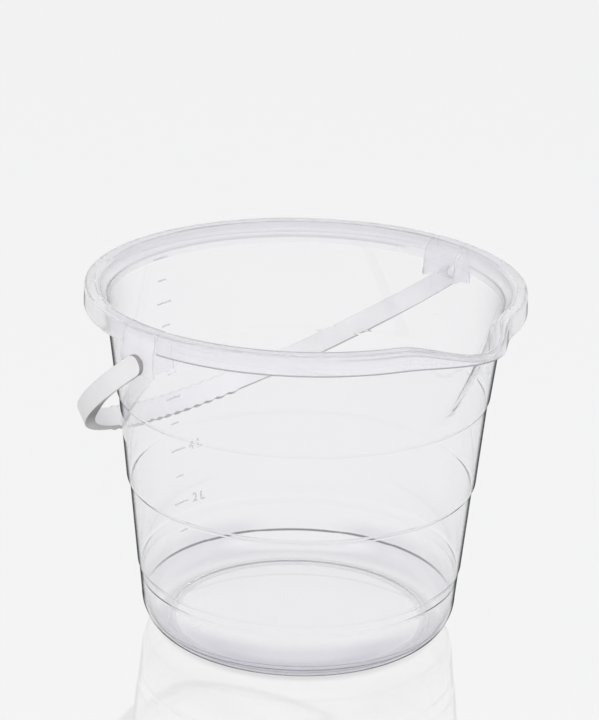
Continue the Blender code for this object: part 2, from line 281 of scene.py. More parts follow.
# The handle's look: its regions, as the same kinds of pairs and bands
STRAP_OUTWARD = (-0.01, 0.01)
STRAP_ENDS = (0.03, 0.09)
NARROW_TURN = (0.55, 0.85)
TIP_REACH = (-0.0005, 0.0005)
TIP_TURN = (0.3, 0.6)
PIN_REACH = (0.0050, 0.0060)
PIN_SIDE = (BRACKET_FACE, BRACKET_FACE + 0.0003)
BEND_REACH = (0.055, 0.115, 0.025)
BEND_SIDE = (-0.02, 0.02)
FAR_REACH = (0.03, 0.10)

# The handle's look: its random tones, grain and gloss, and its painted light and shade
CLOUD_SCALE = 40.0
CLOUD_RELIEF = 4.0
CLOUD_SHADE = 0.4
GRAIN_SCALE = 900.0
GRAIN_STRENGTH = 0.12
GRAIN_DEPTH = 0.0002
END_SHADE = 0.5
GRIP_LIGHT = 0.4
FAR_LIGHT = 0.3
STRAP_GLOW = 0.22
STRAP_ROUGHNESS = 0.38
MILKY_GLOSS = 0.35
SIDE_DARKNESS = 0.38
GRIP_DARKNESS = 0.20
BEND_DARKNESS = 0.35
TIP_DARKNESS = 0.72

# The litre scale's look
SPECKLE_SCALE = 300.0
SPECKLE_STRENGTH = 0.3
SPECKLE_DEPTH = 0.0002
MARK_ROUGHNESS = 0.5
MARK_GLOW = 0.3
MARK_CLEARNESS = 0.65

# Colours, as linear values
BACKGROUND = (0.905, 0.905, 0.905)
# Tints by how edge-on the plastic is seen: a faint tint of its own, deepened as painted shade at
# turned edges and in the corner
WALL_TINTS_AND_EDGE_SHADE = ((0.0, (0.978, 0.977, 0.986)), (0.45, (0.965, 0.963, 0.975)),
              (0.75, (0.90, 0.90, 0.92)), (0.9, (0.72, 0.72, 0.75)))
CORNER_TINTS_AND_SHADE = ((0.0, (0.975, 0.97, 0.985)), (0.07, (0.955, 0.945, 0.97)),
                (0.134, (0.71, 0.70, 0.75)), (0.25, (0.65, 0.64, 0.70)),
                (0.45, (0.74, 0.73, 0.78)), (0.75, (0.62, 0.62, 0.66)))
SPOUT_TINT = (0.965, 0.963, 0.975, 1.0)
SPOUT_TINT_SHARE = 0.7
RIM_TINT = (0.955, 0.953, 0.965, 1.0)
RIM_TINT_SHARE = 0.7
RIM_SHADES = ((0.0, (0.90, 0.895, 0.92)), (1.0, (0.76, 0.755, 0.79)))
PAINTED_SHADE_COLOUR = (0.012, 0.015, 0.020, 1.0)
PASSED_LIGHT = (0.98, 0.98, 0.985, 1.0)
GLOW = (0.90, 0.895, 0.92, 1.0)
STRAP_SHADES = ((0.0, (0.93, 0.925, 0.935)), (0.2, (0.89, 0.885, 0.895)),
                (0.5, (0.76, 0.755, 0.765)))
STRAP_SHADE_COLOUR = (0.13, 0.115, 0.105, 1.0)
MARK_SHADES = ((0.3, (0.42, 0.42, 0.43)), (0.7, (0.60, 0.60, 0.61)))
MARK_LIGHT = (0.97, 0.97, 0.98, 1.0)

# Pale sheet under the bucket, with a painted contact shadow: a soft dark ring where it stands
SHEET_RADIUS = 8.0
SHEET_COLOUR = (0.85, 0.85, 0.86, 1.0)
SHEET_BOUNCE = (0.72, 0.72, 0.72, 1.0)
SHEET_EVENNESS = 0.86
SHEET_POLISH = 0.20
SHEET_ROUGHNESS = 0.05
CONTACT_START = (0.088, 0.094)
CONTACT_END = (0.099, 0.108)
CONTACT_SHADOW_COLOUR = (0.05, 0.05, 0.06, 1.0)
CONTACT_SHADOW_DARKNESS = 0.18

# Studio and lamp
STUDIO_WALLS = ((0.0, BACKGROUND), (0.48, BACKGROUND), (0.62, (0.50, 0.50, 0.52)),
                (1.0, (0.65, 0.65, 0.67)))
STUDIO_LIGHT = 0.86
LAMP_PLACE = Vector((-1.6, -1.8, 1.5))
LAMP_AIM = Vector((0, 0, 0.12))
LAMP_SIZE = 1.6
LAMP_POWER = 36.0


class Number:
    """What a node gives, most often a number. The usual operators on it add Math nodes."""

    def __init__(self, finish, socket):
        self.finish = finish
        self.socket = socket

    def maths(self, operation, *values):
        inputs = dict(enumerate(values))
        return self.finish.add("ShaderNodeMath", {"operation": operation}, inputs)

    def __add__(self, other):
        return self.maths("ADD", self, other)

    def __sub__(self, other):
        return self.maths("SUBTRACT", self, other)

    def __rsub__(self, other):
        return self.maths("SUBTRACT", other, self)

    def __mul__(self, other):
        return self.maths("MULTIPLY", self, other)

    def __pow__(self, other):
        return self.maths("POWER", self, other)

    def __abs__(self):
        return self.maths("ABSOLUTE", self)

    def larger(self, other):
        return self.maths("MAXIMUM", self, other)


class Finish:
    """A node tree that is being written: a material's, or the world's."""

    def __init__(self, owner):
        owner.use_nodes = True
        self.owner = owner
        self.tree = owner.node_tree
        self.tree.nodes.clear()

    def add(self, kind, settings=None, inputs=None, output=0):
        """Add a node, set it up, feed it values or links, and return one of its outputs."""
        node = self.tree.nodes.new(kind)
        for name, value in (settings or {}).items():
            if name == "stops":
                self.set_stops(node.color_ramp, value)
            else:
                setattr(node, name, value)
        for name, value in (inputs or {}).items():
            if isinstance(value, Number):
                self.tree.links.new(value.socket, node.inputs[name])
            else:
                node.inputs[name].default_value = value
        return Number(self, node.outputs[output]) if node.outputs else None

    def show(self, surface, kind="ShaderNodeOutputMaterial"):
        self.add(kind, inputs={"Surface": surface})

    def set_stops(self, ramp, stops):
        while len(ramp.elements) < len(stops):
            ramp.elements.new(0.5)
        for element, (position, colour) in zip(ramp.elements, stops):
            element.position = position
            element.color = (*colour, 1.0)


def between(low, high, share):
    return low + (high - low) * share


def progress(value, low, high):
    """0 up to low, 1 from high on, and a straight rise between them."""
    return min(1.0, max(0.0, (value - low) / (high - low)))


def ease(value, low, high):
    """The same as progress, but rounded at both ends."""
    share = progress(value, low, high)
    return share * share * (3.0 - 2.0 * share)


def set_look(mesh, material):
    """Smooth shading up to the crease angle, and one material or none."""
    mesh.shade_smooth()
    mesh.set_sharp_from_angle(angle=CREASE_ANGLE)
    mesh.materials.clear()
    if material:
        mesh.materials.append(material)


def new_object(name, bm, material=None):
    """Turn a bmesh into a smooth-shaded object at the origin."""
    mesh = bpy.data.meshes.new(name)
    bm.to_mesh(mesh)
    bm.free()
    set_look(mesh, material)
    thing = bpy.data.objects.new(name, mesh)
    bpy.context.scene.collection.objects.link(thing)
    return thing


def finished_mesh(thing):
    """A copy of the object's mesh with its modifiers applied."""
    graph = bpy.context.evaluated_depsgraph_get()
    return bpy.data.meshes.new_from_object(thing.evaluated_get(graph))


def combine(target, helper, operation):
    """Join a helper to a piece or cut it away, and remove the helper."""
    change = target.modifiers.new(helper.name, "BOOLEAN")
    change.operation = operation
    change.solver = "EXACT"
    change.object = helper
    old = target.data
    target.data = finished_mesh(target)
    target.modifiers.clear()
    bpy.data.meshes.remove(old)
    bpy.data.objects.remove(helper)


def fillet(before, corner, after, size):
    """The points of a rounded corner between two straight runs of an outline."""
    back = (before - corner).normalized()
    ahead = (after - corner).normalized()
    opening = back.angle(ahead)
    room = min((before - corner).length, (after - corner).length) / 2
    run = min(size / math.tan(opening / 2), room)
    points = []
    for index in range(FILLET_STEPS + 1):
        share = index / FILLET_STEPS
        start = corner + back * run * (1 - share)
        end = corner + ahead * run * share
        points.append(start.lerp(end, share))
    return points


def rounded(outline):
    """An outline of (radius, height, rounding) points, with its corners rounded."""
    corners = [Vector((radius, height)) for radius, height, size in outline]
    points = [corners[0]]
    for index in range(1, len(outline) - 1):
        size = outline[index][2]
        if size:
            points += fillet(corners[index - 1], corners[index], corners[index + 1], size)
        else:
            points.append(corners[index])
    return points + [corners[-1]]


def divided(points):
    """The same outline with no run between two points longer than the longest face."""
    result = [points[0]]
    for start, end in zip(points, points[1:]):
        parts = math.ceil((end - start).length / LONGEST_FACE)
        result += [start.lerp(end, index / parts) for index in range(1, parts + 1)]
    return result


def wall_radius(height):
    """The wall's outer radius, followed down from the flare through the three steps."""
    radius = RIM_INNER_RADIUS - FLARE_WIDTH + WALL_THICKNESS
    level = FLARE_HEIGHT
    taper = UPPER_TAPER_SHARE
    for index, width in ((2, HIGH_STEP_WIDTH), (1, MIDDLE_STEP_WIDTH), (0, LOW_STEP_WIDTH)):
        step_foot = FIRST_STEP_HEIGHT + index * STEP_SPACING
        step_head = step_foot + STEP_RISE
        if height >= step_head:
            break
        radius -= (level - step_head) * taper
        if height > step_foot:
            return radius - width * (step_head - height) / STEP_RISE
        radius -= width
        level = step_foot
        taper = LOWER_TAPER_SHARE
    return radius - (level - height) * taper


def foot_radius():
    return wall_radius(CORNER_HEIGHT) - CORNER_WIDTH


def wall_outline(inset):
    """The wall from its rounded corner to the flare, with the rounding of each step's edges."""
    outline = [(wall_radius(CORNER_HEIGHT) - inset, CORNER_HEIGHT, 0)]
    if inset:
        for height, relief in ((BEAD_HEIGHT - BEAD_WIDTH / 2, 0), (BEAD_HEIGHT, BEAD_RELIEF),
                               (BEAD_HEIGHT + BEAD_WIDTH / 2, 0)):
            outline.append((wall_radius(height) - inset - relief, height, BEAD_WIDTH))
    for index in range(3):
        step_foot = FIRST_STEP_HEIGHT + index * STEP_SPACING
        for height in (step_foot - STEP_SOFTENING, step_foot + STEP_RISE + STEP_SOFTENING):
            outline.append((wall_radius(height) - inset, height, STEP_ROUND))
    return outline + [(wall_radius(FLARE_HEIGHT) - inset, FLARE_HEIGHT, FLARE_ROUND)]


def corner_outline(inset, floor):
    """The round from the foot up to the wall. Inside, it is set in by the wall and the floor."""
    start = FOOT_HEIGHT + floor
    outline = []
    for index in range(CORNER_STEPS):
        angle = math.radians(90) * index / CORNER_STEPS
        outline.append((foot_radius() + (CORNER_WIDTH - inset) * math.sin(angle),
                        start + (CORNER_HEIGHT - start) * (1 - math.cos(angle)), 0))
    return outline


def bucket_section():
    """Half of the bucket's section: up outside, over the rim, and down inside."""
    outline = [(0, 0, 0), (foot_radius() - FOOT_LEAN, 0, FOOT_ROUND)]
    outline += corner_outline(0, 0)
    outline += wall_outline(0)
    outline += [(RIM_INNER_RADIUS + WALL_THICKNESS, RIM_UNDERSIDE, LIP_ROUND),
                (RIM_RADIUS - WALL_THICKNESS, RIM_UNDERSIDE, LIP_ROUND),
                (SKIRT_RADIUS - WALL_THICKNESS, SKIRT_HEIGHT, LIP_ROUND),
                (SKIRT_RADIUS, SKIRT_HEIGHT, LIP_ROUND),
                (RIM_RADIUS, BUCKET_HEIGHT, RIM_ROUND),
                (RIM_INNER_RADIUS, BUCKET_HEIGHT, RIM_ROUND)]
    outline += wall_outline(WALL_THICKNESS)[::-1]
    outline += corner_outline(WALL_THICKNESS, FLOOR_THICKNESS)[::-1]
    outline += [(foot_radius() - WALL_THICKNESS, FLOOR_THICKNESS, FOOT_ROUND),
                (0, FLOOR_THICKNESS, 0)]
    return divided(rounded(outline))


def spout_move(point):
    """How far the spout and its channel pull a point of the round bucket, and along which way."""
    radius = math.hypot(point.x, point.y)
    off_centre = abs(math.atan2(point.x, -point.y))
    share = progress(point.z, CHANNEL_HEIGHT, SKIRT_HEIGHT)
    half_angle = SPOUT_HALF_ANGLE * between(CHANNEL_FOOT_SHARE, 1, share)
    if off_centre >= half_angle or share == 0:
        return Vector((0, 0, 0))
    fullness = math.cos(math.radians(90) * off_centre / half_angle) ** SPOUT_POINTEDNESS
    outward = progress(radius, RIM_INNER_RADIUS + WALL_THICKNESS, RIM_RADIUS - WALL_THICKNESS)
    hanging = outward * progress(RIM_UNDERSIDE - point.z, 0, RIM_UNDERSIDE - SKIRT_HEIGHT)
    reach = fullness * share * between(SPOUT_REACH, SPOUT_SKIRT_REACH, outward)
    lift = fullness * share * between(-SPOUT_DIP, SPOUT_SKIRT_LIFT, hanging)
    return Vector((point.x / radius * reach, point.y / radius * reach, lift))


def bracket_outline(inset, overrun):
    """A bracket seen from the side, as (x, z). Its hollow is inset in front and runs past it."""
    face = BRACKET_FACE - inset
    root = WALL_THICKNESS / 2
    top = BUCKET_HEIGHT - root + overrun
    front_foot = BUCKET_HEIGHT - BRACKET_DEPTH - overrun
    side_foot = BUCKET_HEIGHT - BRACKET_SIDE_DEPTH - overrun
    back_foot = side_foot + BRACKET_SIDE_SLOPE
    return [(wall_radius(back_foot) - WALL_THICKNESS - overrun, back_foot),
            (wall_radius(FLARE_HEIGHT) - root - overrun, FLARE_HEIGHT),
            (RIM_INNER_RADIUS + root, top),
            (RIM_RADIUS - root - inset, top),
            (face, SKIRT_HEIGHT),
            (face, front_foot),
            (face - BRACKET_PLATE, front_foot),
            (face - BRACKET_PLATE, side_foot)]


def prism(name, side, outline, width):
    """A flat outline of (x, z) points, thickened evenly to both sides of Y = 0."""
    bm = bmesh.new()
    corners = [bm.verts.new((side * x, -width / 2, z)) for x, z in outline]
    grown = bmesh.ops.extrude_face_region(bm, geom=[bm.faces.new(corners)])["geom"]
    moved = [item for item in grown if isinstance(item, bmesh.types.BMVert)]
    bmesh.ops.translate(bm, verts=moved, vec=(0, width, 0))
    bmesh.ops.recalc_face_normals(bm, faces=bm.faces)
    return new_object(name, bm)


def turned_on_hinge(bm, outline, side):
    """A turned shape on the hinge line, from (distance from the middle, radius) points."""
    points = [bm.verts.new((side * x, radius, 0)) for x, radius in outline]
    edges = [bm.edges.new(pair) for pair in zip(points, points[1:])]
    bmesh.ops.spin(bm, geom=points + edges, cent=(0, 0, 0), axis=(1, 0, 0), dvec=(0, 0, 0),
                   angle=math.tau, steps=PIN_STEPS, use_merge=True, use_duplicate=False)
    bmesh.ops.remove_doubles(bm, verts=bm.verts, dist=SAME_POINT)
    bmesh.ops.recalc_face_normals(bm, faces=bm.faces)


def add_bracket(bucket, side, label):
    """An open box under the rim: a front plate with the pin's hole, and two side plates."""
    bracket = prism(f"{label}_bracket", side, bracket_outline(0, 0), BRACKET_WIDTH)
    hollow = prism(f"{label}_hollow", side, bracket_outline(BRACKET_PLATE, OVERRUN),
                   BRACKET_WIDTH - 2 * BRACKET_PLATE)
    combine(bracket, hollow, "DIFFERENCE")
    combine(bucket, bracket, "UNION")
    bm = bmesh.new()
    radius = PIN_RADIUS + PIN_CLEARANCE
    start = BRACKET_BACK - OVERRUN
    end = BRACKET_FACE + OVERRUN
    turned_on_hinge(bm, [(start, 0), (start, radius), (end, radius), (end, 0)], side)
    bmesh.ops.translate(bm, verts=bm.verts, vec=(0, 0, HINGE_HEIGHT))
    combine(bucket, new_object(f"{label}_pin_hole", bm), "DIFFERENCE")


def make_bucket(material):
    """The clear moulding: a turned shell, pulled out to the spout, with its two brackets."""
    bm = bmesh.new()
    points = [bm.verts.new((point.x, 0, point.y)) for point in bucket_section()]
    edges = [bm.edges.new(pair) for pair in zip(points, points[1:])]
    bmesh.ops.spin(bm, geom=points + edges, cent=(0, 0, 0), axis=(0, 0, 1), dvec=(0, 0, 0),
                   angle=math.tau, steps=ROUND_STEPS, use_merge=True, use_duplicate=False)
    bmesh.ops.remove_doubles(bm, verts=bm.verts, dist=SAME_POINT)
    bmesh.ops.recalc_face_normals(bm, faces=bm.faces)
    for vert in bm.verts:
        if vert.co.z > CHANNEL_HEIGHT:
            vert.co += spout_move(vert.co)
    bucket = new_object("clear_moulding", bm)
    add_bracket(bucket, 1, "right")
    add_bracket(bucket, -1, "left")
    set_look(bucket.data, material)
    return bucket


def strap_depth(distance):
    """The strap's depth at a distance from the hinge: pad, thin neck, then the full grip."""
    neck = between(PAD_DEPTH, STRAP_THIN_DEPTH, ease(distance, PAD_LENGTH, THIN_START))
    return neck + (STRAP_FULL_DEPTH - STRAP_THIN_DEPTH) * ease(distance, THIN_END, FULL_START)


def strap_place(angle):
    """A point of the outer half ellipse in the handle's own plane, and the way inward there."""
    outer = Vector((HANDLE_HALF_SPAN * math.cos(angle), HANDLE_REACH * math.sin(angle), 0))
    inward = Vector((-math.cos(angle) / HANDLE_HALF_SPAN, -math.sin(angle) / HANDLE_REACH, 0))
    return outer, inward.normalized()


def strap_section(outer, inward, half_width, depth):
    """One section of the strap: a rectangle with four rounded edges."""
    size = min(STRAP_ROUND, half_width / 2)
    turns = ((half_width - size, size, -90), (half_width - size, depth - size, 0),
             (size - half_width, depth - size, 90), (size - half_width, size, 180))
    points = []
    for across, inset, start in turns:
        for index in range(FILLET_STEPS + 1):
            angle = math.radians(start + 90 * index / FILLET_STEPS)
            shift = Vector((0, 0, across + size * math.cos(angle)))
            points.append(outer + inward * (inset + size * math.sin(angle)) + shift)
    return points


def grip_half_width(along):
    """Half the strap's width at a place along the hinge: wavy in the grip, plain elsewhere."""
    wave = round(along / WAVE_SPACING) * WAVE_SPACING
    if abs(wave) > GRIP_LENGTH / 2 + SAME_POINT:
        return STRAP_WIDTH / 2
    slope = ease(abs(along - wave), WAVE_CREST_WIDTH / 2, WAVE_FOOT_WIDTH / 2)
    return STRAP_WIDTH / 2 + WAVE_HEIGHT * (1 - slope)


def strap_sections():
    """All sections of the strap, from the left tip over the grip to the right tip."""
    tips = {}
    for side in (-1, 1):
        tips[side] = []
        for index in range(TIP_STEPS):
            angle = TIP_SPAN * (1 - index / TIP_STEPS)
            outer = Vector((side * HANDLE_HALF_SPAN, -STRAP_WIDTH / 2 * math.sin(angle), 0))
            half_width = STRAP_WIDTH / 2 * math.cos(angle)
            tips[side].append(strap_section(outer, Vector((-side, 0, 0)), half_width, PAD_DEPTH))
    middle = []
    for index in range(STRAP_STEPS + 1):
        outer, inward = strap_place(math.pi * (1 - index / STRAP_STEPS))
        middle.append(strap_section(outer, inward, grip_half_width(outer.x), strap_depth(outer.y)))
    return tips[-1] + middle + tips[1][::-1]


def loft(bm, sections):
    """Skin a row of closed sections and cap both ends."""
    rings = []
    for section in sections:
        verts = [bm.verts.new(point) for point in section]
        rings.append([bm.edges.new((verts[i - 1], verts[i])) for i in range(len(verts))])
    for ring, following in zip(rings, rings[1:]):
        bmesh.ops.bridge_loops(bm, edges=ring + following)
    for ring in (rings[0], rings[-1]):
        bmesh.ops.holes_fill(bm, edges=ring)


def add_snap_pin(bm, side):
    """A pin from the strap's pad through the bracket's hole, with a barbed head behind it."""
    root = BRACKET_FACE + SIDE_CLEARANCE + PIN_ROOT
    lip = BRACKET_BACK - SIDE_CLEARANCE
    turned_on_hinge(bm, [(root, 0), (root, PIN_RADIUS), (lip, PIN_RADIUS), (lip, HEAD_RADIUS),
                         (lip - HEAD_LIP, HEAD_RADIUS), (lip - HEAD_LENGTH, HEAD_TIP_RADIUS),
                         (lip - HEAD_LENGTH, 0)], side)


def make_handle(material):
    bm = bmesh.new()
    add_snap_pin(bm, 1)
    add_snap_pin(bm, -1)
    loft(bm, strap_sections())
    bmesh.ops.recalc_face_normals(bm, faces=bm.faces)
    hang = Matrix.Translation((0, 0, HINGE_HEIGHT)) @ Matrix.Rotation(-HANGING_ANGLE, 4, "X")
    bmesh.ops.transform(bm, matrix=hang, verts=bm.verts)
    return new_object("milky_handle", bm, material)


def wall_point(angle, height, inset):
    """A point inside the back wall's inner face, at an angle round the bucket."""
    radius = wall_radius(height) - WALL_THICKNESS - inset
    return Vector((radius * math.cos(angle), radius * math.sin(angle), height))


def add_tick(bm, height, length):
    """A raised mark, bent round with the wall."""
    radius = wall_radius(height) - WALL_THICKNESS
    span = length / radius
    start = SCALE_ANGLE - span / 2
    low = height - TICK_HEIGHT / 2
    high = height + TICK_HEIGHT / 2
    ring = [bm.verts.new(wall_point(start, level, inset))
            for level, inset in ((low, -MARK_ROOT), (high, -MARK_ROOT),
                                 (high, MARK_RELIEF), (low, MARK_RELIEF))]
    face = bm.faces.new(ring)
    bmesh.ops.spin(bm, geom=[face], cent=(0, 0, 0), axis=(0, 0, 1), dvec=(0, 0, 0),
                   angle=span, steps=TICK_STEPS, use_merge=False, use_duplicate=False)


def add_figure(bm, text, height):
    """A raised figure beside a long mark, bent round with the wall."""
    curve = bpy.data.curves.new("figure", "FONT")
    curve.body = text
    curve.size = FIGURE_SIZE
    curve.extrude = (MARK_RELIEF + MARK_ROOT) / 2
    curve.offset = FIGURE_WEIGHT
    curve.align_y = "CENTER"
    holder = bpy.data.objects.new("figure", curve)
    bpy.context.scene.collection.objects.link(holder)
    mesh = finished_mesh(holder)
    radius = wall_radius(height) - WALL_THICKNESS
    start = SCALE_ANGLE - (LONG_TICK / 2 + FIGURE_GAP) / radius
    for vert in mesh.vertices:
        inset = vert.co.z + (MARK_RELIEF - MARK_ROOT) / 2
        vert.co = wall_point(start - vert.co.x / radius, height + vert.co.y, inset)
    bm.from_mesh(mesh)
    bpy.data.objects.remove(holder)


def make_litre_scale(material):
    bm = bmesh.new()
    for index, height in enumerate(LITRE_HEIGHTS):
        litres = index + 1
        even = litres % 2 == 0
        add_tick(bm, height, LONG_TICK if even else SHORT_TICK)
        if even and litres <= HIGHEST_FIGURE:
            add_figure(bm, f"{litres} L", height)
    bmesh.ops.recalc_face_normals(bm, faces=bm.faces)
    return new_object("litre_scale", bm, material)


def rise(value, low, high):
    """0 up to low, 1 from high on, and a smooth rise between them."""
    return value.finish.add("ShaderNodeMapRange", {"interpolation_type": "SMOOTHSTEP"}, {
        "Value": value, "From Min": low, "From Max": high})


def fall(value, low, high):
    """1 up to low, 0 from high on, and a smooth fall between them."""
    return 1.0 - rise(value, low, high)


def inside(value, low, high, soft):
    """1 where the value lies between low and high, and 0 outside, with soft borders."""
    return rise(value, low - soft, low + soft) * fall(value, high - soft, high + soft)


def largest(first, *others):
    for other in others:
        first = first.larger(other)
    return first


def coordinates(finish, kind):
    """The three Object coordinates, or the three parts of the Normal."""
    place = finish.add("ShaderNodeTexCoord", output=kind)
    return [finish.add("ShaderNodeSeparateXYZ", inputs={0: place}, output=axis) for axis in "XYZ"]


def noise(finish, scale, detail, squeeze=1.0):
    """Soft noise from 0 to 1 over the object. A small squeeze draws it out upward."""
    place = finish.add("ShaderNodeTexCoord", output="Object")
    stretched = finish.add("ShaderNodeVectorMath", {"operation": "MULTIPLY"}, {
        0: place, 1: (1.0, 1.0, squeeze)})
    return finish.add("ShaderNodeTexNoise", inputs={
        "Vector": stretched, "Scale": scale, "Detail": detail}, output="Fac")


def bump(finish, relief, strength, distance):
    return finish.add("ShaderNodeBump", inputs={
        "Height": relief, "Strength": strength, "Distance": distance})


def ramp(finish, value, stops):
    return finish.add("ShaderNodeValToRGB", {"stops": stops}, {"Fac": value})


def blend(finish, share, first, second):
    """A colour that turns from the first into the second with the share."""
    return finish.add("ShaderNodeMix", {"data_type": "RGBA"}, {
        "Factor": share, 6: first, 7: second}, output=2)


def mix(finish, share, first, second):
    """A surface that turns from the first into the second with the share."""
    return finish.add("ShaderNodeMixShader", inputs={0: share, 1: first, 2: second})


def matt(finish, colour):
    return finish.add("ShaderNodeBsdfDiffuse", inputs={"Color": colour})


def see_through(finish, colour):
    return finish.add("ShaderNodeBsdfTransparent", inputs={"Color": colour})


def cloudy_plastic(finish, colour, roughness, normal, share):
    """Milky plastic: part of the light comes back, and part of it glows through."""
    front = finish.add("ShaderNodeBsdfPrincipled", inputs={
        "Base Color": colour, "Roughness": roughness, "Specular IOR Level": MILKY_GLOSS,
        "Normal": normal})
    glow = finish.add("ShaderNodeBsdfTranslucent", inputs={"Color": GLOW, "Normal": normal})
    return mix(finish, share, front, glow)


def spout_fullness(across, along):
    """1 at the turn of the spout's middle, 0 from its sides on."""
    quarter = math.radians(90)
    turn = abs(across.maths("ARCTAN2", across, along * -1.0)) * (quarter / SPOUT_HALF_ANGLE)
    return turn.maths("COSINE", turn.maths("MINIMUM", turn, quarter)) ** SPOUT_POINTEDNESS


class Place:
    """A point of the clear moulding. Its regions are 1 inside, 0 outside and soft between."""

    def __init__(self, finish):
        self.across, self.along, self.height = coordinates(finish, "Object")
        turn_x, turn_y, self.turn_z = coordinates(finish, "Normal")
        self.facing = finish.add("ShaderNodeLayerWeight", inputs={"Blend": 0.5}, output="Facing")
        self.radius = (self.across * self.across + self.along * self.along) ** 0.5
        self.diagonal = self.across + self.along
        self.aside = self.along - self.across
        self.back = rise(self.diagonal, *BACK)
        self.outer_side = rise(self.across * turn_x + self.along * turn_y, *OUTWARD_TURN)
        self.inner_side = 1.0 - self.outer_side
        self.sideways = rise(abs(turn_y), *SIDEWAYS_TURN)
        self.set_spout()
        self.set_rim_and_foot()
        self.set_bracket()

    def set_spout(self):
        """The spout, and where a point would lie if the bucket were round and level."""
        self.spout = spout_fullness(self.across, self.along)
        self.level_height = self.height + self.spout * SPOUT_DIP
        self.round_radius = self.radius - self.spout * SPOUT_REACH
        self.spout_left = fall(self.across, *SPOUT_LEFT)
        self.spout_wall = (rise(self.height, *SPOUT_WALL_HEIGHT)
                           * fall(self.along, *SPOUT_WALL_FRONT))

    def set_rim_and_foot(self):
        self.rim = rise(self.height, *RIM_HEIGHT)
        self.skirt = rise(self.radius - self.spout * SPOUT_SKIRT_SHIFT, *SKIRT_REGION)
        self.outside_foot = rise(self.radius, *FOOT_OUTSIDE)
        self.foot_edge = (1.0 - self.outside_foot) * rise(self.radius, *FOOT_INSIDE)
        sides = rise(abs(self.aside), *CORNER_SIDES)
        self.corner = (self.outside_foot * rise(self.height, *CORNER_LOW)
                       * fall(self.height, *CORNER_HIGH) * (1.0 - sides * CORNER_SIDE_FADE))

    def set_bracket(self):
        """The brackets, their plates alone, and where the hanging handle shows behind the wall."""
        self.bracket = (inside(abs(self.across), *BRACKET_SPAN) * rise(self.height, *BRACKET_LOW)
                        * fall(abs(self.along), *BRACKET_SIDE))
        lining = self.inner_side * fall(self.radius, *LINING_RADIUS) * (1.0 - self.sideways)
        self.plates = self.bracket * (1.0 - lining) * fall(self.height, *PLATES_TOP)
        self.handle_behind = (inside(self.height, *SEEN_HANDLE_HEIGHT)
                              * rise(self.aside, *SEEN_HANDLE_SIDE))


def painted_edge_highlights(place):
    """Painted highlights on the top's edges: the inner one in front, and the outer one all round.
    """
    inner = (rise(place.level_height, *INNER_EDGE_HEIGHT)
             * fall(place.round_radius, *INNER_EDGE_RADIUS))
    outer = rise(place.height, *OUTER_EDGE_HEIGHT) * rise(place.radius, *OUTER_EDGE_RADIUS)
    outer = outer * (place.back * (1.0 - OUTER_EDGE_FRONT) + OUTER_EDGE_FRONT)
    return (inner * (1.0 - place.back)).larger(outer) * (1.0 - place.bracket)


def wall_shade_lines(place):
    """Painted shade as thin dark lines: in the corner, under the flare, at the skirt's edge and at
    the base, and painted shade on the upper inner wall.
    """
    corner = (inside(place.height, *CORNER_CREASE) * place.inner_side * place.outside_foot
              * rise(place.diagonal, *CORNER_CREASE_BACK))
    flare = (inside(place.height, *FLARE_CREASE) * place.inner_side
             * rise(abs(place.along), *BESIDE_BRACKETS))
    skirt = (inside(place.height - place.spout * SPOUT_SKIRT_LIFT, *SKIRT_LINE) * place.skirt
             * fall(place.diagonal, *SKIRT_LINE_END))
    base = (inside(place.height, *UPPER_BASE_LINE) * UPPER_BASE_DARKNESS
            + inside(place.height, *LOWER_BASE_LINE) * LOWER_BASE_DARKNESS)
    shade = (rise(place.facing, *WALL_SHADE_FACING) * rise(place.height, *WALL_SHADE_HEIGHT)
             * fall(place.height, *WALL_SHADE_TOP) * place.inner_side)
    return largest(corner * CORNER_DARKNESS, flare * FLARE_DARKNESS, skirt * SKIRT_DARKNESS,
                   base * place.outer_side * place.outside_foot, shade * WALL_SHADE_DARKNESS)


def rim_shade_lines(place):
    """Painted shade as thin dark lines: on the rim's back, in its flare, and along the spout's
    left shoulder.
    """
    back = (rise(place.level_height, *BACK_LINE_HEIGHT) * fall(place.turn_z, *LEVEL_TURN)
            * fall(place.round_radius, *BACK_LINE_RADIUS) * place.back)
    flare = (rise(place.level_height, *FLARE_SHADE_HEIGHT)
             * fall(place.round_radius, *FLARE_SHADE_RADIUS) * place.inner_side)
    groove_height = place.height + place.spout * GROOVE_DIP
    groove = (inside(groove_height, *GROOVE) * rise(place.across - place.along, *GROOVE_START)
              * place.outer_side * place.skirt * place.spout_left)
    band = rise(groove_height, *SHOULDER_BAND) * SHOULDER_BAND_DARKNESS
    edge = (rise(place.level_height, *INNER_EDGE_HEIGHT)
            * fall(place.round_radius, *SHOULDER_RADIUS))
    shoulder = (band.larger(edge * SHOULDER_EDGE_DARKNESS)
                * rise(place.spout, *SHOULDER_START) * place.spout_left)
    return largest(back * BACK_LINE_DARKNESS, flare * FLARE_SHADE_DARKNESS,
                   groove * GROOVE_DARKNESS, shoulder)


def painted_dark_edges(place):
    """Painted shade: the dark edges where the outside of the wall, the base and the skirt turn out
    of sight.
    """
    wall = (rise(place.facing, *WALL_EDGE_FACING) * place.outer_side
            * (1.0 - place.rim) * (1.0 - place.bracket) * (1.0 - place.spout_wall)
            * (1.0 - place.handle_behind) * fall(abs(place.turn_z), *LEDGE_TURN)
            * (1.0 - rise(place.spout, *SPOUT_EDGE_START) * SPOUT_EDGE_FADE) * WALL_EDGE_DARKNESS)
    base = rise(place.facing, *BASE_EDGE_FACING) * fall(place.height, *BASE_EDGE_HEIGHT)
    rim = (rise(place.facing, *RIM_EDGE_FACING) * fall(place.height, *RIM_EDGE_HEIGHT)
           * place.outer_side * place.rim * place.skirt)
    return largest(wall, base * WALL_EDGE_DARKNESS, rim * RIM_EDGE_DARKNESS) * place.outside_foot


